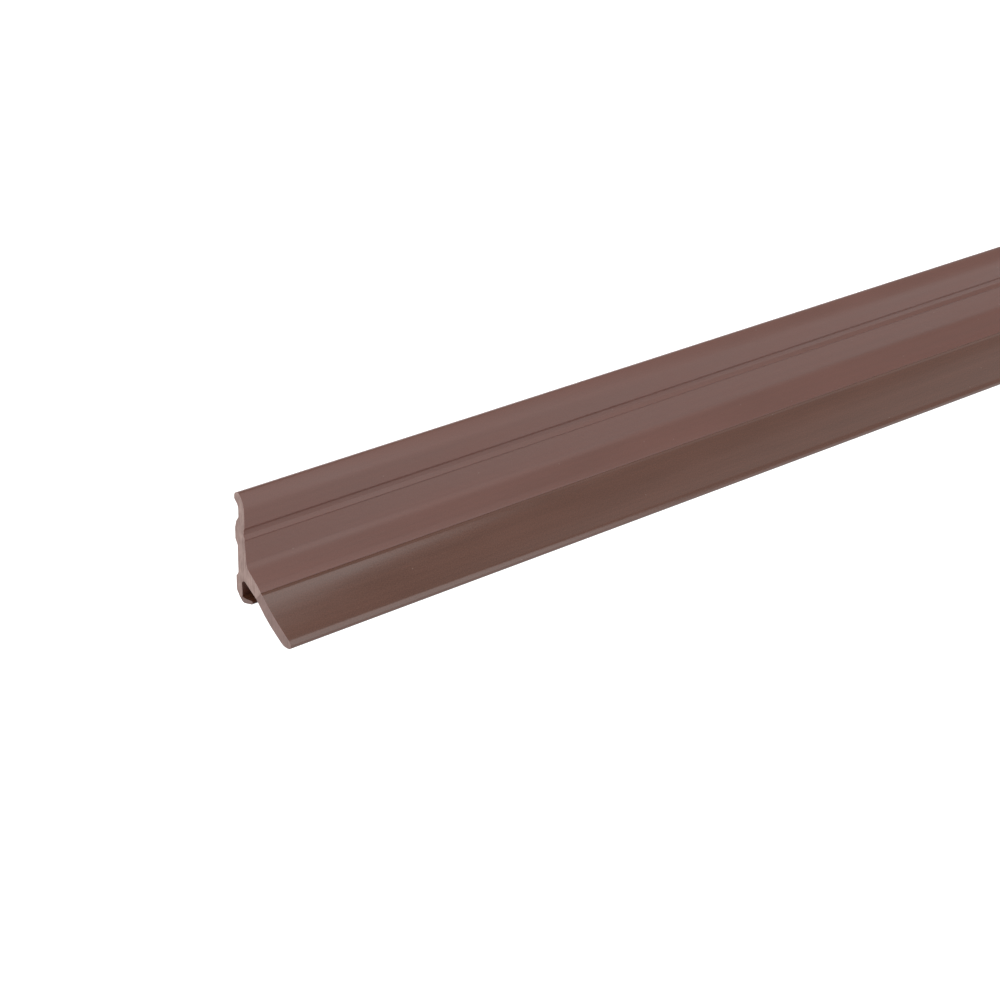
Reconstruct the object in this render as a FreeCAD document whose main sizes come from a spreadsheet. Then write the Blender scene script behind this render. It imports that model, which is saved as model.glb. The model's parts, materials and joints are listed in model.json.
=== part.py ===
"""Door sweep: a co-extruded strip with a stiff carrier, a soft front flap and a small
soft rear lip, with a foam tape and its release liner in the recess of the back.

Frame, in millimetres: X runs along the strip, +Y points at the door, +Z is up. The
origin is at mid-length, on the plane of the door face, level with the bottom of the
fixing groove. A depth is counted forward from the door face, so it is -Y. A level is
counted up from the fixing groove and a drop is counted down from it.
"""
import FreeCAD, Part
import math
import os
import Sketcher

# Driving dimensions, in millimetres and degrees. A slope is downward to the front.
SIZES = {
    "strip_length": 1000.0,
    # head: a bead that leans back on the door, under a sloping brow
    "head_rise": 10.8,
    "bead_radius": 1.1,
    "bead_foot_level": 8.9,
    "bead_foot_round": 0.8,
    "brow_fall": 2.65,
    "brow_round": 6.5,
    # flange: its front face, and the neck that thins it from behind
    "flange_depth": 3.6,
    "neck_depth": 1.4,
    "neck_level": 7.3,
    "neck_round": 2.5,
    "neck_foot_level": 4.2,
    "neck_foot_round": 0.8,
    # fixing ridge on the back, which backs up the groove in the front
    "ridge_shoulder_depth": 0.45,
    "ridge_shoulder_level": 2.9,
    "ridge_top_level": 1.2,
    "ridge_foot_drop": 1.8,
    "ridge_round": 0.4,
    "groove_cut": 0.95,
    "groove_top_level": 1.75,
    "groove_foot_drop": 1.6,
    "groove_edge_round": 0.3,
    "groove_root_round": 0.8,
    # tape recess in the back
    "recess_depth": 0.8,
    "recess_top_drop": 3.4,
    "recess_foot_drop": 10.9,
    "recess_round": 0.3,
    # back leg
    "leg_depth": 2.05,
    "leg_top_drop": 11.9,
    "leg_heel_drop": 15.7,
    "leg_heel_round": 1.5,
    # web, which ends in a land in line with the flap, and the hollow behind it
    "web_bend_depth": 4.05,
    "web_bend_drop": 8.85,
    "web_bend_round": 3.0,
    "web_land": 2.3,
    "hollow_top_drop": 11.9,
    "hollow_round": 0.8,
    # front flap: two runs joined by a long bend, hung on an axis at the seam; it is
    # thickest at the bend, and cut to a level sole and an upright toe
    "flap_axis_depth": 8.9,
    "flap_axis_drop": 16.1,
    "flap_thickness": 2.8,
    "flap_root_slope": 50.0,
    "flap_root_run": 5.55,
    "flap_bend_radius": 38.0,
    "flap_front_belly": 0.12,
    "flap_back_belly": 0.3,
    "flap_tip_slope": 42.5,
    "flap_tip_run": 8.6,
    "flap_back_slope": 40.5,
    "flap_toe_height": 1.7,
    "flap_toe_round": 1.4,
    "flap_foot_round": 0.6,
    "flap_heel_round": 3.6,
    # rear lip: two short runs, on the foot of the leg, with a bevelled tip
    "lip_axis_depth": 1.85,
    "lip_axis_drop": 17.5,
    "lip_thickness": 0.9,
    "lip_root_slope": 52.0,
    "lip_root_run": 1.1,
    "lip_tip_slope": -7.0,
    "lip_tip_run": 3.45,
    "lip_bend_radius": 1.2,
    "lip_tip_bevel": 0.1,
    "lip_toe_round": 0.35,
    "lip_heel_round": 0.35,
    # seats of the two soft pieces: how far the carrier wraps each side of a round root
    "seat_wrap": 60.0,
    "seat_clearance": 0.05,
    "lip_land": 0.1,
    # foam tape and its liner
    "tape_thickness": 1.0,
    "tape_margin": 0.25,
    "tape_set_back": 3.0,
    "liner_thickness": 0.1,
}

doc = FreeCAD.newDocument("door_sweep")
sheet = doc.addObject("Spreadsheet::Sheet", "Sizes")


def fill_sheet():
    """Write each driving dimension to a cell with its name as the alias."""
    for row, (name, value) in enumerate(SIZES.items(), start=1):
        sheet.set(f"A{row}", name)
        sheet.set(f"B{row}", str(value))
        sheet.setAlias(f"B{row}", name)
    doc.recompute()


def size(name):
    """The expression that reads one driving dimension."""
    return f"Sizes.{name}"


# A point of a section is a (depth, level) pair of expressions.

def at(depth, level):
    """A point by the names of its depth and of its level."""
    return size(depth), size(level)


def at_drop(depth, drop):
    """A point by the names of its depth and of its drop."""
    return size(depth), f"-{size(drop)}"


def stepped(point, run, slope):
    """The point reached by going `run` forward and down at `slope`."""
    depth, level = point
    return f"{depth} + {run} * cos({slope})", f"{level} - {run} * sin({slope})"


def lifted(point, distance, slope):
    """The point `distance` off a line of this slope, on its upper and front side."""
    depth, level = point
    return f"{depth} + {distance} * sin({slope})", f"{level} + {distance} * cos({slope})"


# An outline is a ring of corners and noses, with the material on the left.

def corner(point, radius=None):
    """A corner of an outline, left sharp or rounded with a radius."""
    return {"nose": False, "point": point, "radius": radius}


def nose(centre, radius):
    """A round end of an outline: an arc that touches the lines on both sides of it."""
    return {"nose": True, "point": centre, "radius": radius}


def touching_point(outside, centre, radius, turn):
    """Where a line from `outside` touches a circle that lies on its left (turn -1)."""
    sight = centre - outside
    aside = math.degrees(math.asin(radius / sight.Length))
    reach = math.sqrt(sight.Length ** 2 - radius ** 2)
    heading = FreeCAD.Rotation(FreeCAD.Vector(0, 0, 1), turn * aside).multVec(sight)
    return outside + heading.normalize() * reach


def straight_line(here, there):
    """The line from one element of an outline to the next, before any rounding."""
    start = here["place"]
    end = there["place"]
    if here["nose"]:
        start = touching_point(there["place"], here["place"], here["size"], 1)
    if there["nose"]:
        end = touching_point(here["place"], there["place"], there["size"], -1)
    return [start, end]


def round_off(element, before, after):
    """Trim the two lines at an element and return its arc: centre and turning side."""
    incoming = (before[1] - before[0]).normalize()
    outgoing = (after[1] - after[0]).normalize()
    if element["nose"]:
        return element["place"], True
    half_turn = incoming.getAngle(outgoing) / 2
    reach = element["size"] * math.tan(half_turn)
    before[1] = element["place"] - incoming * reach
    after[0] = element["place"] + outgoing * reach
    inward = (outgoing - incoming).normalize()
    centre = element["place"] + inward * (element["size"] / math.cos(half_turn))
    return centre, incoming.cross(outgoing).z > 0


def hold(sketch, kind, expression, *where):
    """Add a dimension to a sketch and bind it to an expression."""
    value = sketch.evalExpression(expression)
    index = sketch.addConstraint(Sketcher.Constraint(kind, *where, value))
    sketch.setExpression(f"Constraints[{index}]", expression)


def hold_point(sketch, geometry, vertex, point):
    """Dimension a vertex from the sketch's origin; forward is the sketch's -X."""
    depth, level = point
    hold(sketch, "DistanceX", f"-({depth})", -1, 1, geometry, vertex)
    hold(sketch, "DistanceY", level, -1, 1, geometry, vertex)


def place_of(sketch, point):
    """Where a point of the section lies in the sketch at the sheet's present sizes."""
    depth, level = point
    return FreeCAD.Vector(-sketch.evalExpression(depth), sketch.evalExpression(level), 0)


def section_sketch(body, name):
    """An empty sketch on the body's own YZ plane."""
    sketch = body.newObject("Sketcher::SketchObject", name)
    plane = next(item for item in body.Origin.OriginFeatures if item.Role == "YZ_Plane")
    sketch.AttachmentSupport = [(plane, "")]
    sketch.MapMode = "FlatFace"
    return sketch


def require_held(sketch):
    """Stop if the sketch doesn't solve or is free to move."""
    if sketch.solve() != 0 or not sketch.FullyConstrained:
        raise RuntimeError(f"{sketch.Name} is not fully held")


def add_arc(sketch, element, before, after, arc):
    """Add the arc of an element, tangent to the lines before and after it."""
    centre, turns_left = arc
    ends = [sketch.Geometry[before].EndPoint, sketch.Geometry[after].StartPoint]
    first, last = (0, 1) if turns_left else (1, 0)
    angles = [math.atan2((end - centre).y, (end - centre).x) for end in ends]
    circle = Part.Circle(centre, FreeCAD.Vector(0, 0, 1), element["size"])
    geometry = sketch.addGeometry(Part.ArcOfCircle(circle, angles[first], angles[last]), False)
    sketch.addConstraint(Sketcher.Constraint("Tangent", before, 2, geometry, first + 1))
    sketch.addConstraint(Sketcher.Constraint("Tangent", after, 1, geometry, last + 1))
    hold(sketch, "Radius", element["radius"], geometry)
    return geometry


def add_corner(sketch, element, before, after):
    """Mark a corner's place, and join its lines there or run them through it."""
    mark = sketch.addGeometry(Part.Point(element["place"]), True)
    hold_point(sketch, mark, 1, element["point"])
    if element["radius"]:
        sketch.addConstraint(Sketcher.Constraint("PointOnObject", mark, 1, before))
        sketch.addConstraint(Sketcher.Constraint("PointOnObject", mark, 1, after))
    else:
        sketch.addConstraint(Sketcher.Constraint("Coincident", before, 2, mark, 1))
        sketch.addConstraint(Sketcher.Constraint("Coincident", after, 1, mark, 1))


def draw_outline(sketch, elements):
    """Draw a ring of corners and noses, every one held by the sheet's sizes."""
    for element in elements:
        element["place"] = place_of(sketch, element["point"])
        element["size"] = sketch.evalExpression(element["radius"]) if element["radius"] else 0
    followers = elements[1:] + elements[:1]
    lines = [straight_line(here, there) for here, there in zip(elements, followers)]
    arcs = [None] * len(elements)
    for i, element in enumerate(elements):
        if element["radius"]:
            arcs[i] = round_off(element, lines[i - 1], lines[i])
    ids = [sketch.addGeometry(Part.LineSegment(*line), False) for line in lines]
    for i, element in enumerate(elements):
        if element["radius"]:
            arc = add_arc(sketch, element, ids[i - 1], ids[i], arcs[i])
        if element["nose"]:
            hold_point(sketch, arc, 3, element["point"])
        else:
            add_corner(sketch, element, ids[i - 1], ids[i])
    require_held(sketch)


def extruded(name, elements):
    """A body whose section is drawn once and run along the whole strip."""
    body = doc.addObject("PartDesign::Body", name)
    body.Label = name
    sketch = section_sketch(body, f"{name}_section")
    draw_outline(sketch, elements)
    pad = body.newObject("PartDesign::Pad", f"{name}_run")
    pad.Profile = sketch
    pad.SideType = "Symmetric"
    pad.setExpression("Length", size("strip_length"))
    doc.recompute()
    return body


# The soft pieces are blades: a round root, a root run, a bend and a tip run.

def blade_axis(blade):
    """The line that a blade bends about, in the middle of its thickness."""
    return at_drop(f"{blade}_axis_depth", f"{blade}_axis_drop")


def half_thickness(blade):
    """Half of a blade's thickness, which is the radius of its round root."""
    return f"({size(blade + '_thickness')} / 2)"


def blade_bend(blade):
    """Where the two runs of a blade's middle line meet."""
    return stepped(blade_axis(blade), size(f"{blade}_root_run"), size(f"{blade}_root_slope"))


def bend_corners(blade, front_belly="0", back_belly="0"):
    """Front and back corners of a blade's bend, with what each stands out beyond the root."""
    half = half_thickness(blade)
    root_slope = size(f"{blade}_root_slope")
    tip_slope = size(f"{blade}_tip_slope")
    mean_slope = f"(({root_slope} + {tip_slope}) / 2)"
    mitre = f"{half} / cos(({root_slope} - {tip_slope}) / 2)"
    radius = size(f"{blade}_bend_radius")
    front = lifted(blade_bend(blade), f"({mitre} + {front_belly})", mean_slope)
    back = lifted(blade_bend(blade), f"-({mitre} + {back_belly})", mean_slope)
    return corner(front, f"{radius} - {half}"), corner(back, f"{radius} + {half}")


def front_flap():
    """The flap, from its round root to its sole."""
    front_bend, back_bend = bend_corners("flap", size("flap_front_belly"), size("flap_back_belly"))
    toe = stepped(front_bend["point"], size("flap_tip_run"), size("flap_tip_slope"))
    sole_level = f"({toe[1]} - {size('flap_toe_height')})"
    back_slope = size("flap_back_slope")
    back_run = f"({back_bend['point'][1]} - {sole_level}) / sin({back_slope})"
    return extruded("front_flap", [
        nose(blade_axis("flap"), half_thickness("flap")),
        front_bend,
        corner(toe, size("flap_toe_round")),
        corner((toe[0], sole_level), size("flap_foot_round")),
        corner(stepped(back_bend["point"], back_run, back_slope), size("flap_heel_round")),
        back_bend,
    ])


def rear_lip():
    """The lip, from its round root to its bevelled tip."""
    half = half_thickness("lip")
    tip_slope = size("lip_tip_slope")
    front_bend, back_bend = bend_corners("lip")
    toe = stepped(blade_bend("lip"), size("lip_tip_run"), tip_slope)
    heel = stepped(toe, f"-{size('lip_tip_bevel')}", tip_slope)
    return extruded("rear_lip", [
        nose(blade_axis("lip"), half),
        front_bend,
        corner(lifted(toe, half, tip_slope), size("lip_toe_round")),
        corner(lifted(heel, f"-{half}", tip_slope), size("lip_heel_round")),
        back_bend,
    ])


# The carrier ends in a square face at each blade, with a round seat bored into it.

def seat_corners(blade, land):
    """Front and back corners of the carrier's end face, `land` beyond the blade."""
    half = half_thickness(blade)
    slope = size(f"{blade}_root_slope")
    face = stepped(blade_axis(blade), f"-{half} * cos({size('seat_wrap')})", slope)
    return [corner(lifted(face, f"{side}({half} + {land})", slope)) for side in ("", "-")]


def bore_seat(body, blade):
    """Bore the seat of a blade's round root along the whole carrier."""
    sketch = section_sketch(body, f"{blade}_seat")
    radius = f"{half_thickness(blade)} + {size('seat_clearance')}"
    centre = place_of(sketch, blade_axis(blade))
    circle = Part.Circle(centre, FreeCAD.Vector(0, 0, 1), sketch.evalExpression(radius))
    geometry = sketch.addGeometry(circle, False)
    hold_point(sketch, geometry, 3, blade_axis(blade))
    hold(sketch, "Radius", radius, geometry)
    require_held(sketch)
    solid_volume = body.Shape.Volume
    bore = body.newObject("PartDesign::Pocket", f"{blade}_seat_bore")
    bore.Profile = sketch
    bore.Type = "ThroughAll"
    bore.SideType = "Symmetric"
    doc.recompute()
    if body.Shape.Volume >= solid_volume:
        raise RuntimeError(f"{bore.Name} cuts nothing")


def carrier_front():
    """Front of the carrier: bead, brow, flange, fixing groove, and web down to its land."""
    bead = (size("bead_radius"), f"{size('head_rise')} - {size('bead_radius')}")
    brow = (size("flange_depth"), f"{size('head_rise')} - {size('brow_fall')}")
    groove_root = (f"{size('flange_depth')} - {size('groove_cut')}", "0")
    edge_round = size("groove_edge_round")
    seam_front = seat_corners("flap", "0")[0]["point"]
    land_top = stepped(seam_front, f"-{size('web_land')}", size("flap_root_slope"))
    return [
        nose(bead, size("bead_radius")),
        corner(brow, size("brow_round")),
        corner(at("flange_depth", "groove_top_level"), edge_round),
        corner(groove_root, size("groove_root_round")),
        corner(at_drop("flange_depth", "groove_foot_drop"), edge_round),
        corner(at_drop("web_bend_depth", "web_bend_drop"), size("web_bend_round")),
        corner(land_top),
    ]


def carrier_leg():
    """The hollow behind the web, and the back leg with the seat of the rear lip."""
    return [
        corner(at_drop("leg_depth", "hollow_top_drop"), size("hollow_round")),
        *seat_corners("lip", size("lip_land")),
        corner(("0", f"-{size('leg_heel_drop')}"), size("leg_heel_round")),
        corner(("0", f"-{size('leg_top_drop')}"), size("recess_round")),
    ]


def carrier_back():
    """Back of the carrier: tape recess, fixing ridge, neck and the foot of the bead."""
    return [
        corner(at_drop("recess_depth", "recess_foot_drop"), size("recess_round")),
        corner(at_drop("recess_depth", "recess_top_drop"), size("recess_round")),
        corner(("0", f"-{size('ridge_foot_drop')}"), size("ridge_round")),
        corner(("0", size("ridge_top_level")), size("ridge_round")),
        corner(at("ridge_shoulder_depth", "ridge_shoulder_level"), size("ridge_round")),
        corner(at("neck_depth", "neck_foot_level"), size("neck_foot_round")),
        corner(at("neck_depth", "neck_level"), size("neck_round")),
        corner(("0", size("bead_foot_level")), size("bead_foot_round")),
    ]


def carrier_profile():
    """The stiff extrusion that holds every other piece."""
    outline = [*carrier_front(), *seat_corners("flap", "0"), *carrier_leg(), *carrier_back()]
    body = extruded("carrier_profile", outline)
    bore_seat(body, "flap")
    bore_seat(body, "lip")
    return body


def tape_layer(name, thickness, back_of):
    """A flat strip in the tape recess, whose front lies on the depth `back_of`."""
    box = doc.addObject("Part::Box", name)
    box.Label = name
    box.setExpression("Length", f"{size('strip_length')} - 2 * {size('tape_set_back')}")
    box.setExpression("Width", thickness)
    recess = f"{size('recess_foot_drop')} - {size('recess_top_drop')}"
    box.setExpression("Height", f"{recess} - 2 * {size('tape_margin')}")
    box.setExpression("Placement.Base.x", f"{size('tape_set_back')} - {size('strip_length')} / 2")
    box.setExpression("Placement.Base.y", f"-({back_of})")
    box.setExpression("Placement.Base.z", f"{size('tape_margin')} - {size('recess_foot_drop')}")
    doc.recompute()
    return box


def foam_tape():
    """Double-sided foam tape on the floor of the recess, a little proud of the ridges."""
    return tape_layer("foam_tape", size("tape_thickness"), size("recess_depth"))


def release_liner():
    """The liner on the back of the tape."""
    tape_back = f"{size('recess_depth')} - {size('tape_thickness')}"
    return tape_layer("release_liner", size("liner_thickness"), tape_back)


def check(pieces):
    """Stop if any object failed or any piece isn't one valid solid."""
    for item in doc.Objects:
        if "Invalid" in item.State or "Error" in item.State:
            raise RuntimeError(f"{item.Name} failed: {item.State}")
    for piece in pieces:
        shape = piece.Shape
        if shape.isNull() or not shape.isValid() or len(shape.Solids) != 1:
            raise RuntimeError(f"{piece.Label} is not one valid solid")


def write(pieces):
    """Write each piece to its own STEP file."""
    os.makedirs("parts", exist_ok=True)
    for piece in pieces:
        piece.Shape.exportStep(f"parts/{piece.Label}.step")
        box = piece.Shape.BoundBox
        print(f"{piece.Label}: {box.XLength:.1f} x {box.YLength:.2f} x {box.ZLength:.2f} mm")


fill_sheet()
PIECES = [
    carrier_profile(),
    front_flap(),
    rear_lip(),
    foam_tape(),
    release_liner(),
]
doc.recompute()
check(PIECES)
write(PIECES)
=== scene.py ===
"""Looks of the door sweep: hard profile, soft front flap, soft rear lip, foam tape, liner.

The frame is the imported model's: X along the strip, +Y towards the door, +Z up. Sections
are drawn in millimetres as (depth in front of the door, level), and run along the strip.
"""

import json
import math

import bmesh
import bpy
from mathutils import Matrix, Vector
from mathutils.geometry import delaunay_2d_cdt


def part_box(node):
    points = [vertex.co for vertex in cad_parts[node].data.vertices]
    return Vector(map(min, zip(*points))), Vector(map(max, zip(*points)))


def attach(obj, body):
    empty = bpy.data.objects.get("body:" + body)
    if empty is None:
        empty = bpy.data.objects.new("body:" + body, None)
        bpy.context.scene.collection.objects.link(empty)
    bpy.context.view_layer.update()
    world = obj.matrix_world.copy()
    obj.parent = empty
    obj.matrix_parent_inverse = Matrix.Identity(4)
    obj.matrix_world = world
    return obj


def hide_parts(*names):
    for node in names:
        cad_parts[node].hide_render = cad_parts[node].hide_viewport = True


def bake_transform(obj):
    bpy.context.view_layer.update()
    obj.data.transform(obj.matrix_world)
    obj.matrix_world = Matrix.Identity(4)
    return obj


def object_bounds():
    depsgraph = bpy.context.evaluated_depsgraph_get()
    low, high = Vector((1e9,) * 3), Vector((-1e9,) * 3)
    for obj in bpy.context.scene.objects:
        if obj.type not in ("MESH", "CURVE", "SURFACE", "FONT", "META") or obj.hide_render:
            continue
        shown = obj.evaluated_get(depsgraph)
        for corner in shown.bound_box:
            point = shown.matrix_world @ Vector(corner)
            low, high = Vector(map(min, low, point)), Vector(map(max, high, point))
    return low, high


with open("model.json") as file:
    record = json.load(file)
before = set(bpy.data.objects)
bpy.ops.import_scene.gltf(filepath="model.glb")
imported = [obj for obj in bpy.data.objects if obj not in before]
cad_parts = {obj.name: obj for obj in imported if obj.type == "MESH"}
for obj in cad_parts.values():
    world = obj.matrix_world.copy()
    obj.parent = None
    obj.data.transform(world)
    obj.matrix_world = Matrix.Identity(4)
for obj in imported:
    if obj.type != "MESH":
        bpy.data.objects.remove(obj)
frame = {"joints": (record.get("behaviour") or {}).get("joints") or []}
CAD_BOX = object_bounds()

MM = 0.001

# ---------------------------------------------------------------- sections, in millimetres

# Depths and levels of the hard profile. The line under the groove is sunk a little.
FLANGE_DEPTH = 3.6
GROOVE_SHOULDER = (3.3, 0.95)
GROOVE_FLOOR = (3.1, -0.35)
GROOVE_FOOT_LEVEL = -1.55
SUNK_LINE = (3.48, -1.85)
WEB_TOP = (4.05, -8.85)
HOLLOW_TOP = (2.05, -11.9)
BEAD_CENTRE = (1.1, 9.7)
BEAD_RADIUS = 1.1
BROW = (FLANGE_DEPTH, 8.15)
RECESS_DEPTH = 0.8
RIDGE_BACK_DEPTH = 0.45
NECK_BACK_DEPTH = 1.4

# Seams between hard and soft plastic. Runs go down the line of the flap's front.
SEAM_WRAP = 60.0
SEAM_EDGE_ROUND = 0.1
SEAM_RISE = 0.45
SEAM_DIP = 0.12
WEB_LAND = 2.3
LAND_DIP_RUN = 0.8
FLAP_DIP_RUN = 0.4
LIP_LAND = 0.1
LIP_EDGE_ROUND = 0.08

# Slight hollows in the flap's front, the second one above its toe.
FLAP_HOLLOW = 0.1
FLAP_HOLLOW_RUN = 2.6
TIP_HOLLOW = 0.12
TIP_HOLLOW_RUN = 3.6

# A point every so many degrees round an arc, and every so many millimetres on a flat.
ARC_STEP = 7.0
FLAT_STEP = 0.8

JOINTS = {joint["name"]: joint for joint in frame["joints"]}

# The two soft pieces are blades: a root run, a bend and a tip run. Both are thickest at
# their bend. The flap ends in an upright toe and a level sole.
FLAP = {
    "joint": "front_flap_flex", "thickness": 2.8, "front_belly": 0.12, "back_belly": 0.3,
    "root_slope": 50.0, "root_run": 5.55, "front_bend": 50.0, "back_bend": 39.4,
    "tip_slope": 42.5, "tip_run": 8.6, "back_slope": 40.5,
    "toe_height": 1.7, "toe_round": 2.25, "foot_round": 0.6, "heel_round": 3.6,
}
LIP = {
    "joint": "rear_lip_flex", "thickness": 0.9, "front_belly": 0.5, "back_belly": 0.0,
    "root_slope": 52.0, "root_run": 1.1, "front_bend": 1.0, "back_bend": 1.65,
    "tip_slope": -7.0, "tip_run": 3.45, "tip_bevel": 0.1, "toe_round": 0.35,
    "heel_round": 0.35,
}


def stepped(point, run, slope):
    """The point reached by going `run` forward and down at `slope` degrees."""
    turn = math.radians(slope)
    return point[0] + run * math.cos(turn), point[1] - run * math.sin(turn)


def lifted(point, distance, slope):
    """The point `distance` off a line of this slope, on its upper and front side."""
    turn = math.radians(slope)
    return point[0] + distance * math.sin(turn), point[1] + distance * math.cos(turn)


def blade_axis(blade):
    """Where a blade's joint lies in the section."""
    place = JOINTS[blade["joint"]]["pos_m"]
    return -place[1] / MM, place[2] / MM


def blade_root(blade):
    """Middle of the face where a blade is joined to the hard profile."""
    back_step = blade["thickness"] / 2 * math.cos(math.radians(SEAM_WRAP))
    return stepped(blade_axis(blade), -back_step, blade["root_slope"])


def seam_corners(blade, land, rounding):
    """Front and back corner of the face that carries a blade."""
    reach = blade["thickness"] / 2 + land
    root = blade_root(blade)
    return [(lifted(root, side * reach, blade["root_slope"]), rounding) for side in (1, -1)]


def beside_seam(run, sunk=0.0):
    """The point at this run from the flap's seam, sunk below the line of the flap's front."""
    place = lifted(blade_root(FLAP), FLAP["thickness"] / 2 - sunk, FLAP["root_slope"])
    return stepped(place, run, FLAP["root_slope"])


def bead_apex():
    """Where the line of the brow, which touches the bead, meets the door's plane."""
    sight = (BEAD_CENTRE[0] - BROW[0], BEAD_CENTRE[1] - BROW[1])
    heading = math.atan2(sight[1], sight[0]) - math.asin(BEAD_RADIUS / math.hypot(*sight))
    return 0.0, BROW[1] - BROW[0] * math.tan(heading)


def carrier_front():
    """Corners of the hard profile's front, from the bead to the flap's seam."""
    return [
        (bead_apex(), BEAD_RADIUS),
        (BROW, 6.5),
        ((FLANGE_DEPTH, 1.6), 0.25),
        (GROOVE_SHOULDER, 0.8),
        (GROOVE_FLOOR, 0.8),
        ((FLANGE_DEPTH, GROOVE_FOOT_LEVEL), 0.12),
        (SUNK_LINE, 0.2),
        (WEB_TOP, 3.0),
        (beside_seam(-WEB_LAND), 0.3),
        (beside_seam(-LAND_DIP_RUN), 0.6),
        (beside_seam(-SEAM_RISE, SEAM_DIP), SEAM_EDGE_ROUND),
    ]


def carrier_foot():
    """Corners from the back of the flap's seam, through the hollow, to the lip's seam."""
    return [
        seam_corners(FLAP, 0.0, SEAM_EDGE_ROUND)[1],
        (HOLLOW_TOP, 0.8),
        *seam_corners(LIP, LIP_LAND, LIP_EDGE_ROUND),
    ]


def carrier_back():
    """Corners of the back: the leg, the tape's recess, the ridge, the neck and the bead."""
    return [
        ((0.0, -15.7), 1.5),
        ((0.0, -11.9), 0.3),
        ((RECESS_DEPTH, -10.9), 0.3),
        ((RECESS_DEPTH, -3.4), 0.3),
        ((0.0, -1.8), 0.4),
        ((0.0, 1.2), 0.4),
        ((RIDGE_BACK_DEPTH, 2.9), 0.4),
        ((NECK_BACK_DEPTH, 4.2), 0.8),
        ((NECK_BACK_DEPTH, 7.3), 2.5),
        ((0.0, 8.9), 0.8),
    ]


def carrier_outline():
    """Ring of (point, rounding) of the hard profile."""
    return [*carrier_front(), *carrier_foot(), *carrier_back()]


def root_corners(blade, rounding):
    """Back and front corner of a blade's root."""
    reach = blade["thickness"] / 2
    root = blade_root(blade)
    return [(lifted(root, side * reach, blade["root_slope"]), rounding) for side in (-1, 1)]


def blade_bend(blade):
    """Where the two runs of a blade's middle line meet."""
    return stepped(blade_axis(blade), blade["root_run"], blade["root_slope"])


def bend_corners(blade):
    """Front and back corner of a blade's bend."""
    half = blade["thickness"] / 2
    mean_slope = (blade["root_slope"] + blade["tip_slope"]) / 2
    mitre = half / math.cos(math.radians(blade["root_slope"] - blade["tip_slope"]) / 2)
    front = lifted(blade_bend(blade), mitre + blade["front_belly"], mean_slope)
    back = lifted(blade_bend(blade), -mitre - blade["back_belly"], mean_slope)
    return (front, blade["front_bend"]), (back, blade["back_bend"])


def flap_outline():
    """Ring of the flap, from the back of its root over the front to its sole."""
    front_bend, back_bend = bend_corners(FLAP)
    toe = stepped(front_bend[0], FLAP["tip_run"], FLAP["tip_slope"])
    above_toe = stepped(toe, -TIP_HOLLOW_RUN, FLAP["tip_slope"])
    tip_hollow = lifted(above_toe, -TIP_HOLLOW, FLAP["tip_slope"])
    foot = (toe[0], toe[1] - FLAP["toe_height"])
    back_run = (back_bend[0][1] - foot[1]) / math.sin(math.radians(FLAP["back_slope"]))
    heel = stepped(back_bend[0], back_run, FLAP["back_slope"])
    return [
        root_corners(FLAP, SEAM_EDGE_ROUND)[0],
        (beside_seam(-SEAM_RISE, SEAM_DIP), SEAM_EDGE_ROUND),
        (beside_seam(FLAP_DIP_RUN), 1.2),
        (beside_seam(FLAP_HOLLOW_RUN, FLAP_HOLLOW), 28.0),
        front_bend,
        (tip_hollow, 70.0),
        (toe, FLAP["toe_round"]),
        (foot, FLAP["foot_round"]),
        (heel, FLAP["heel_round"]),
        back_bend,
    ]


def lip_outline():
    """Ring of the lip, from the back of its root over the front to its bevelled tip."""
    half = LIP["thickness"] / 2
    front_bend, back_bend = bend_corners(LIP)
    toe = stepped(blade_bend(LIP), LIP["tip_run"], LIP["tip_slope"])
    heel = stepped(toe, -LIP["tip_bevel"], LIP["tip_slope"])
    return [
        *root_corners(LIP, LIP_EDGE_ROUND),
        front_bend,
        (lifted(toe, half, LIP["tip_slope"]), LIP["toe_round"]),
        (lifted(heel, -half, LIP["tip_slope"]), LIP["heel_round"]),
        back_bend,
    ]


def arc_points(before, here, after, radius):
    """Points of the arc that rounds a corner."""
    incoming = (here - before).normalized()
    outgoing = (after - here).normalized()
    turn = incoming.angle(outgoing)
    reach = radius * math.tan(turn / 2)
    start = here - incoming * reach
    centre = here + (outgoing - incoming).normalized() * radius / math.cos(turn / 2)
    side = 1 if incoming.x * outgoing.y > incoming.y * outgoing.x else -1
    steps = max(3, math.ceil(math.degrees(turn) / ARC_STEP))
    spokes = [Matrix.Rotation(side * turn * i / steps, 2) for i in range(steps + 1)]
    return [centre + spoke @ (start - centre) for spoke in spokes]


def with_flats(ring):
    """The ring with more points on its long flats."""
    dense = []
    for here, there in zip(ring, ring[1:] + ring[:1]):
        steps = max(1, math.ceil((there - here).length / FLAT_STEP))
        dense += [here.lerp(there, i / steps) for i in range(steps)]
    return dense


def sampled(outline):
    """The closed ring of points of an outline, arcs and flats alike."""
    corners = [Vector(point) for point, _ in outline]
    ring = []
    for i, (_, radius) in enumerate(outline):
        following = corners[(i + 1) % len(corners)]
        if radius:
            ring += arc_points(corners[i - 1], corners[i], following, radius)
        else:
            ring.append(corners[i])
    return with_flats(ring)


def inset(ring, distance):
    """The ring moved into its material by a small distance."""
    moved = []
    for i, here in enumerate(ring):
        along = (ring[(i + 1) % len(ring)] - ring[i - 1]).normalized()
        moved.append(here + Vector((along.y, -along.x)) * distance)
    return moved


# ------------------------------------------------------------------------ strip meshes

CUT_CHAMFER = 0.07
THIN_CHAMFER = 0.01
STATION_STEP = 8.0
SHARP_ANGLE = math.radians(32)
PATTERN_PLACE = "pattern_place"

# What the triangulation of a cut end keeps, and how far apart its points count as one.
KEEP_INSIDE = 1
SAME_POINT = 1e-6


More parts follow.
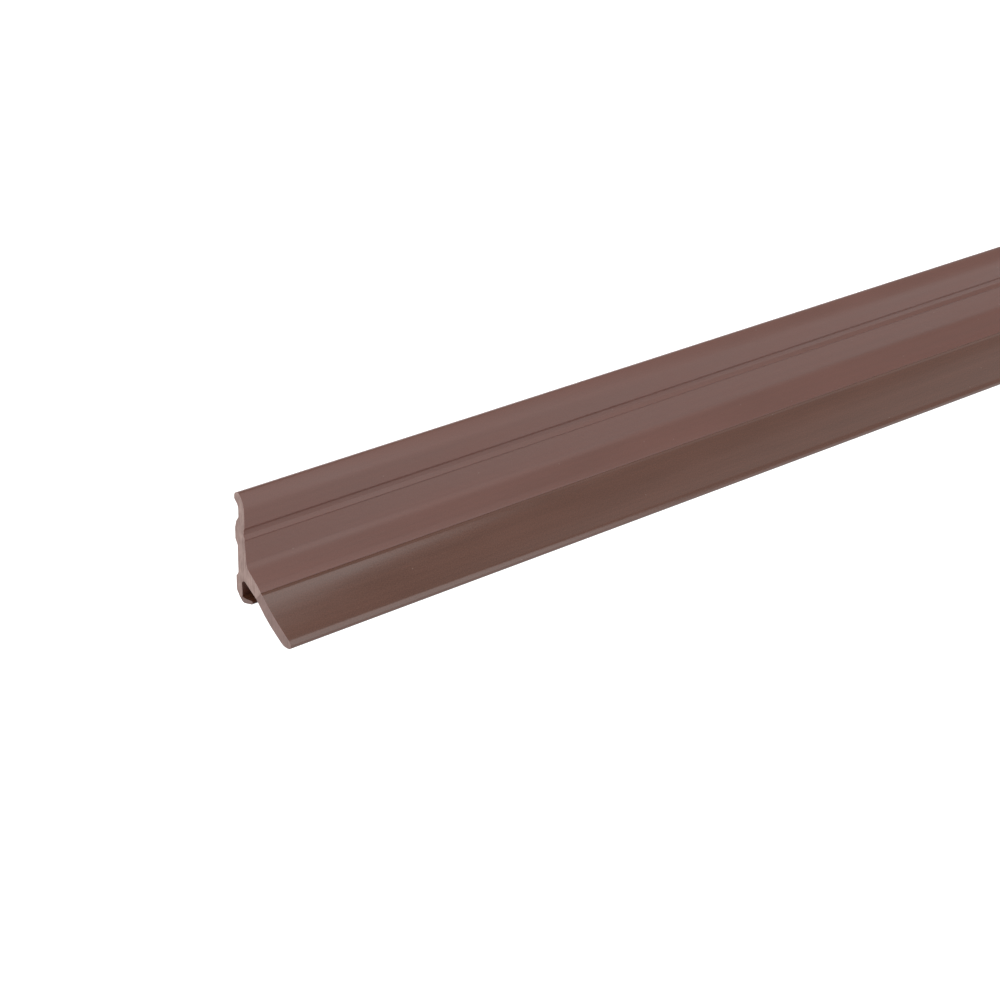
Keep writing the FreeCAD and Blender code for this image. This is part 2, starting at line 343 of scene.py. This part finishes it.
def stations(low, high, chamfer):
    """Even places along the strip, in millimetres, from one chamfer to the other."""
    first = low + chamfer
    run = high - low - 2 * chamfer
    steps = math.ceil(run / STATION_STEP)
    return [first + run * i / steps for i in range(steps + 1)]


def add_ring(mesh, x, ring):
    """Add a ring of vertices at one place along the strip."""
    return [mesh.verts.new((x, -point.x, point.y)) for point in ring]


def perimeter_places(ring):
    """Distance round the ring to each point, and the whole way round at the end."""
    places = [0.0]
    for here, there in zip(ring, ring[1:] + ring[:1]):
        places.append(places[-1] + (there - here).length)
    return places


def add_cut_end(mesh, pattern, ring, vertices):
    """Fill the end of a strip with triangles, in slot 1."""
    triangles = delaunay_2d_cdt(ring, [], [list(range(len(ring)))], KEEP_INSIDE, SAME_POINT)[2]
    for corners in triangles:
        face = mesh.faces.new([vertices[i] for i in corners])
        face.material_index = 1
        for loop in face.loops:
            loop[pattern] = loop.vert.co * MM


def add_walls(mesh, pattern, rings, around):
    """Join each ring to the next one, with the chamfers at both ends in slot 1."""
    count = len(rings[0])
    for here, there in zip(rings, rings[1:]):
        chamfered = here is rings[0] or there is rings[-1]
        for i in range(count):
            j = (i + 1) % count
            face = mesh.faces.new((here[i], here[j], there[j], there[i]))
            face.material_index = int(chamfered)
            places = (around[i], around[i + 1], around[i + 1], around[i])
            for loop, place in zip(face.loops, places):
                loop[pattern] = Vector((loop.vert.co.x, place, 0.0)) * MM


def shade_smooth(mesh):
    """Smooth shading that stays crisp at sharp edges, with all faces turned outwards."""
    bmesh.ops.recalc_face_normals(mesh, faces=mesh.faces)
    for face in mesh.faces:
        face.smooth = True
    for edge in mesh.edges:
        edge.smooth = edge.calc_face_angle(0.0) < SHARP_ANGLE


def strip_mesh(name, ring, ends, chamfer=CUT_CHAMFER):
    """A piece with this section along X, with its cut ends and their edges in slot 1."""
    low, high = ends
    mesh = bmesh.new()
    pattern = mesh.loops.layers.float_vector.new(PATTERN_PLACE)
    trimmed = inset(ring, chamfer)
    rings = [add_ring(mesh, low, trimmed)]
    rings += [add_ring(mesh, x, ring) for x in stations(low, high, chamfer)]
    rings.append(add_ring(mesh, high, trimmed))
    add_walls(mesh, pattern, rings, perimeter_places(ring))
    for end in (rings[0], rings[-1]):
        add_cut_end(mesh, pattern, trimmed, end)
    shade_smooth(mesh)
    mesh.transform(Matrix.Scale(MM, 4))
    data = bpy.data.meshes.new(name)
    mesh.to_mesh(data)
    mesh.free()
    piece = bpy.data.objects.new(name, data)
    bpy.context.scene.collection.objects.link(piece)
    return piece


# -------------------------------------------------------------------------- materials

def linear(red, green, blue):
    """A colour given in sRGB steps of 255 as the linear colour that nodes take."""
    shares = [value / 255 for value in (red, green, blue)]
    return [s / 12.92 if s <= 0.04045 else ((s + 0.055) / 1.055) ** 2.4 for s in shares] + [1.0]


# Sockets of a Mix node that mixes colours. Others bear the same names for other types.
MIX_FIRST = 6
MIX_SECOND = 7
MIX_RESULT = 2


class Recipe:
    """A material whose node tree is built one node at a time."""

    def __init__(self, name):
        self.material = bpy.data.materials.new(name)
        self.material.use_nodes = True
        self.tree = self.material.node_tree
        self.tree.nodes.clear()
        self.output = self.tree.nodes.new("ShaderNodeOutputMaterial")

    def add(self, kind, inputs=(), **settings):
        """A node of this kind, with settings, and inputs that are values or sockets."""
        node = self.tree.nodes.new("ShaderNode" + kind)
        for key, value in settings.items():
            setattr(node, key, value)
        for key, value in dict(inputs).items():
            self.join(value, node.inputs[key])
        return node

    def join(self, value, socket):
        """Link a socket to an input, or write a plain value on it."""
        if isinstance(value, bpy.types.NodeSocket):
            self.tree.links.new(value, socket)
        else:
            socket.default_value = value

    def stretched(self, scale):
        """The pattern's place, with its own scale on each axis."""
        place = self.add("Attribute", attribute_name=PATTERN_PLACE)
        return self.add("VectorMath", {0: place.outputs["Vector"], 1: scale},
                        operation="MULTIPLY").outputs[0]

    def noise(self, scale, detail=2.0, roughness=0.5):
        """Noise from 0 to 1, with its own scale on each axis."""
        inputs = {"Vector": self.stretched(scale), "Scale": 1.0, "Detail": detail}
        inputs["Roughness"] = roughness
        return self.add("TexNoise", inputs).outputs["Fac"]

    def ranged(self, value, low, high, to_low, to_high):
        """A value mapped from one range to another, and held there."""
        return self.add("MapRange", {"Value": value, "From Min": low, "From Max": high,
                                     "To Min": to_low, "To Max": to_high}).outputs[0]

    def sum(self, first, second):
        """The sum of two values."""
        return self.add("Math", {0: first, 1: second}, operation="ADD").outputs[0]

    def product(self, first, second):
        """The product of two values."""
        return self.add("Math", {0: first, 1: second}, operation="MULTIPLY").outputs[0]

    def blended(self, share, first, second):
        """One colour turning into another."""
        mix = self.add("Mix", data_type="RGBA")
        self.join(share, mix.inputs["Factor"])
        self.join(first, mix.inputs[MIX_FIRST])
        self.join(second, mix.inputs[MIX_SECOND])
        return mix.outputs[MIX_RESULT]

    def specks(self, spacing, radius, share):
        """1 on tiny round specks, one in each cell of this spacing, in a share of the cells."""
        inputs = {"Vector": self.stretched((1, 1, 1)), "Scale": 1 / spacing}
        cells = self.add("TexVoronoi", inputs, voronoi_dimensions="2D")
        lot = self.add("SeparateColor", {0: cells.outputs["Color"]}).outputs[0]
        chosen = self.add("Math", {0: lot, 1: share}, operation="LESS_THAN").outputs[0]
        edge = radius / spacing
        near = self.ranged(cells.outputs["Distance"], edge * 0.5, edge, 1.0, 0.0)
        return self.product(chosen, near)

    def bump(self, height, distance, normal=None):
        """A bump of this height in metres."""
        inputs = {"Height": height, "Distance": distance}
        if normal:
            inputs["Normal"] = normal
        return self.add("Bump", inputs).outputs[0]

    def finish(self, **inputs):
        """Close the tree with a Principled shader."""
        spaced = {key.replace("_", " "): value for key, value in inputs.items()}
        shader = self.add("BsdfPrincipled", spaced)
        self.tree.links.new(shader.outputs[0], self.output.inputs["Surface"])
        return self.material


# Scales of the patterns, in waves per metre: along and round the strip on its walls, and
# along X, Y and Z on its cut ends.
STREAK_SCALE = (3.0, 900.0, 1.0)
CLOUD_SCALE = (25.0, 160.0, 1.0)
GRAIN_SCALE = (2600.0, 2600.0, 1.0)
DIE_LINE_SCALE = (2.0, 1500.0, 1.0)
SKIN_SCALE = (1500.0, 2200.0, 1.0)
SAW_MARK_SCALE = (1.0, 3200.0, 350.0)
SAW_PATCH_SCALE = (1.0, 500.0, 300.0)
WRINKLE_SCALE = (60.0, 220.0, 220.0)
FOAM_CELLS = 3200.0

# Depths of the bumps, in metres.
SKIN_DEPTH = 0.000012
SAW_DEPTH = 0.00003
FOAM_DEPTH = 0.0001
WRINKLE_DEPTH = 0.0002

DUST = linear(150, 128, 118)
DUST_STRENGTH = 0.22


def extruded_plastic(name, dark, light, roughness, die_depth):
    """Extruded plastic: die lines and streaks along the strip, fine grain and dust."""
    recipe = Recipe(name)
    streaks = recipe.noise(STREAK_SCALE, detail=3.0)
    clouds = recipe.noise(CLOUD_SCALE, detail=3.0)
    fine = recipe.noise(GRAIN_SCALE, detail=1.0)
    tone = recipe.sum(recipe.product(streaks, 0.25), recipe.product(clouds, 0.3))
    tone = recipe.sum(tone, recipe.product(fine, 0.7))
    colour = recipe.blended(recipe.ranged(tone, 0.4, 0.85, 0.0, 1.0), dark, light)
    specks = recipe.specks(spacing=0.011, radius=0.00025, share=0.3)
    colour = recipe.blended(recipe.product(specks, DUST_STRENGTH), colour, DUST)
    die_lines = recipe.bump(recipe.noise(DIE_LINE_SCALE, detail=3.0), die_depth)
    skin = recipe.bump(recipe.noise(SKIN_SCALE), SKIN_DEPTH, die_lines)
    patchy = recipe.sum(clouds, recipe.product(fine, 0.3))
    rough = recipe.ranged(patchy, 0.4, 0.9, *roughness)
    return recipe.finish(Base_Color=colour, Roughness=rough, Normal=skin)


def sawn_plastic(name, dark, light):
    """The cut end of the strip: a little whitened, with fine saw marks."""
    recipe = Recipe(name)
    marks = recipe.noise(SAW_MARK_SCALE, detail=3.0, roughness=0.6)
    patches = recipe.noise(SAW_PATCH_SCALE)
    tone = recipe.sum(recipe.product(marks, 0.6), recipe.product(patches, 0.4))
    colour = recipe.blended(recipe.ranged(tone, 0.35, 0.7, 0.0, 1.0), dark, light)
    relief = recipe.bump(marks, SAW_DEPTH)
    rough = recipe.ranged(marks, 0.3, 0.8, 0.55, 0.75)
    return recipe.finish(Base_Color=colour, Roughness=rough, Normal=relief)


def foam(name):
    """Closed-cell foam, white, with fine cells whose pits carry painted shade."""
    recipe = Recipe(name)
    inputs = {"Vector": recipe.stretched((1, 1, 1)), "Scale": FOAM_CELLS}
    depth = recipe.add("TexVoronoi", inputs).outputs["Distance"]
    # The colour follows the relief: painted shade darkens the bottom of each cell's pit.
    colour = recipe.blended(depth, linear(206, 206, 200), linear(240, 240, 236))
    return recipe.finish(Base_Color=colour, Roughness=0.85, Normal=recipe.bump(depth, FOAM_DEPTH))


def liner_film(name):
    """Waxy film, off-white, faintly wrinkled, with painted shade in the troughs of its wrinkles and
    painted light on their crests.
    """
    recipe = Recipe(name)
    wrinkles = recipe.noise(WRINKLE_SCALE, detail=4.0)
    # The colour follows the relief: painted shade in the wrinkles' troughs, painted light on their
    # crests.
    colour = recipe.blended(wrinkles, linear(226, 221, 203), linear(240, 237, 224))
    rough = recipe.ranged(wrinkles, 0.3, 0.7, 0.28, 0.42)
    relief = recipe.bump(wrinkles, WRINKLE_DEPTH)
    return recipe.finish(Base_Color=colour, Roughness=rough, Normal=relief)


HARD = extruded_plastic("hard_pvc", linear(83, 48, 37), linear(98, 56, 45),
                        roughness=(0.32, 0.42), die_depth=0.00002)
SOFT = extruded_plastic("soft_pvc", linear(71, 42, 29), linear(91, 55, 41),
                        roughness=(0.12, 0.18), die_depth=0.000007)
HARD_CUT = sawn_plastic("hard_pvc_sawn", linear(131, 106, 100), linear(178, 153, 145))
SOFT_CUT = sawn_plastic("soft_pvc_sawn", linear(120, 97, 91), linear(148, 122, 116))
LIP_CUT = sawn_plastic("lip_pvc_sawn", linear(104, 82, 77), linear(132, 108, 102))
FOAM = foam("tape_foam")
LINER = liner_film("tape_liner")

# ----------------------------------------------------------------------------- pieces

# Rounding of a flat strip's corners, as a share of its thickness.
FLAT_ROUNDING = 0.2


def strip_ends(node):
    """Lowest and highest X of a CAD node, in millimetres."""
    low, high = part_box(node)
    return low.x / MM, high.x / MM


def dress(piece, node, materials):
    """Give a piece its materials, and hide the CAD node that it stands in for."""
    for material in materials:
        piece.data.materials.append(material)
    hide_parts(node)
    return piece


def hard_profile():
    """The stiff extrusion."""
    piece = strip_mesh("profile_shell", sampled(carrier_outline()), strip_ends("carrier_profile"))
    dress(piece, "carrier_profile", [HARD, HARD_CUT])
    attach(piece, "carrier")


def soft_blade(name, node, outline, cut):
    """A soft piece with this material on its cut ends."""
    piece = strip_mesh(name, sampled(outline), strip_ends(node))
    dress(piece, node, [SOFT, cut])
    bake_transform(piece)


def tape_ring(node):
    """The section of a flat strip, with its corners a little rounded."""
    low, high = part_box(node)
    front, back = -low.y / MM, -high.y / MM
    rounding = (front - back) * FLAT_ROUNDING
    places = [(front, high.z / MM), (front, low.z / MM), (back, low.z / MM), (back, high.z / MM)]
    return sampled([(place, rounding) for place in places])


def tape():
    """The foam tape in the recess."""
    piece = strip_mesh("foam_tape_strip", tape_ring("foam_tape"), strip_ends("foam_tape"))
    dress(piece, "foam_tape", [FOAM, FOAM])
    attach(piece, "carrier")


def liner():
    """The liner on the tape."""
    piece = strip_mesh("release_liner_film", tape_ring("release_liner"), strip_ends("release_liner"),
                       THIN_CHAMFER)
    dress(piece, "release_liner", [LINER, LINER])
    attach(piece, "liner")


hard_profile()
soft_blade("front_flap_blade", "front_flap", flap_outline(), SOFT_CUT)
soft_blade("rear_lip_blade", "rear_lip", lip_outline(), LIP_CUT)
tape()
liner()

# ------------------------------------------------------------------------------ stage

# Metres from the strip down to the floor, and from side to side of the floor.
FLOOR_DROP = 0.12
FLOOR_SIZE = 12.0
FLOOR_GREY = linear(205, 205, 205)
FLOOR_GLOW = 0.7
WHITE = linear(255, 255, 255)


def white_floor():
    """A pale floor that shows white to the camera and keeps a soft shadow."""
    level = CAD_BOX[0].z - FLOOR_DROP
    bpy.ops.mesh.primitive_plane_add(size=FLOOR_SIZE, location=(0, 0, level))
    floor = bpy.context.object
    floor.name = "floor"
    recipe = Recipe("floor_white")
    rays = recipe.add("LightPath").outputs
    seen = rays["Is Camera Ray"]
    for other in (rays["Is Glossy Ray"], rays["Is Transmission Ray"]):
        seen = recipe.add("Math", {0: seen, 1: other}, operation="MAXIMUM").outputs[0]
    material = recipe.finish(Base_Color=FLOOR_GREY, Roughness=0.9, Emission_Color=WHITE,
                             Emission_Strength=recipe.product(seen, FLOOR_GLOW))
    floor.data.materials.append(material)


def soft_world(level):
    """An even white surround, and pure white where the camera sees it."""
    world = bpy.data.worlds.new("studio")
    bpy.context.scene.world = world
    world.use_nodes = True
    tree = world.node_tree
    tree.nodes.clear()
    output = tree.nodes.new("ShaderNodeOutputWorld")
    mix = tree.nodes.new("ShaderNodeMixShader")
    rays = tree.nodes.new("ShaderNodeLightPath")
    for index, strength in ((1, level), (2, 1.0)):
        background = tree.nodes.new("ShaderNodeBackground")
        background.inputs["Strength"].default_value = strength
        background.inputs["Color"].default_value = (1, 1, 1, 1)
        tree.links.new(background.outputs[0], mix.inputs[index])
    tree.links.new(rays.outputs["Is Camera Ray"], mix.inputs[0])
    tree.links.new(mix.outputs[0], output.inputs["Surface"])


# The lamps face the strip near the end that the camera sees.
LIT_PLACE = Vector((-0.47, 0.0, 0.0))


def soft_box(name, turn, rise, distance, spread, radiance):
    """A studio lamp that faces the lit place.

    It stands at this turn from -Y towards +X and this rise, and its two sides span these
    angles seen from the lit place, all in degrees.
    """
    turn = math.radians(turn)
    rise = math.radians(rise)
    level = Vector((math.sin(turn), -math.cos(turn), 0.0))
    sight = level * math.cos(rise) + Vector((0.0, 0.0, math.sin(rise)))
    lamp = bpy.data.lights.new(name, "AREA")
    lamp.shape = "RECTANGLE"
    lamp.size, lamp.size_y = [2 * distance * math.tan(math.radians(angle) / 2) for angle in spread]
    lamp.energy = radiance * math.pi * lamp.size * lamp.size_y
    holder = bpy.data.objects.new(name, lamp)
    holder.location = LIT_PLACE + sight * distance
    holder.rotation_euler = (-sight).to_track_quat("-Z", "Y").to_euler()
    bpy.context.scene.collection.objects.link(holder)


# The photograph's camera, solved from the strip's parallel edges and its cut end: place in
# metres, angles in degrees, lens and sensor in millimetres.
CAMERA_PLACE = (-0.9949, -0.5665, 0.2752)
CAMERA_HEADING = -46.264
CAMERA_TILT = -19.598
CAMERA_LENS = 113.4
SENSOR_WIDTH = 36.0


def camera():
    """A long lens that looks along the strip from its near end."""
    data = bpy.data.cameras.new("camera")
    data.lens = CAMERA_LENS
    data.sensor_width = SENSOR_WIDTH
    holder = bpy.data.objects.new("camera", data)
    holder.location = CAMERA_PLACE
    holder.rotation_euler = (math.radians(90 + CAMERA_TILT), 0.0, math.radians(CAMERA_HEADING))
    bpy.context.scene.collection.objects.link(holder)
    bpy.context.scene.camera = holder


white_floor()
soft_world(level=0.66)
soft_box("front_box", turn=31.0, rise=30.0, distance=1.2, spread=(38.0, 74.0), radiance=1.8)
soft_box("end_box", turn=-75.0, rise=40.0, distance=1.5, spread=(30.0, 30.0), radiance=4.5)
soft_box("side_box", turn=90.0, rise=33.0, distance=2.1, spread=(35.0, 24.0), radiance=0.28)
soft_box("rim_box", turn=140.0, rise=15.0, distance=1.6, spread=(40.0, 26.0), radiance=3.0)
camera()
bpy.context.scene.view_settings.view_transform = "Standard"
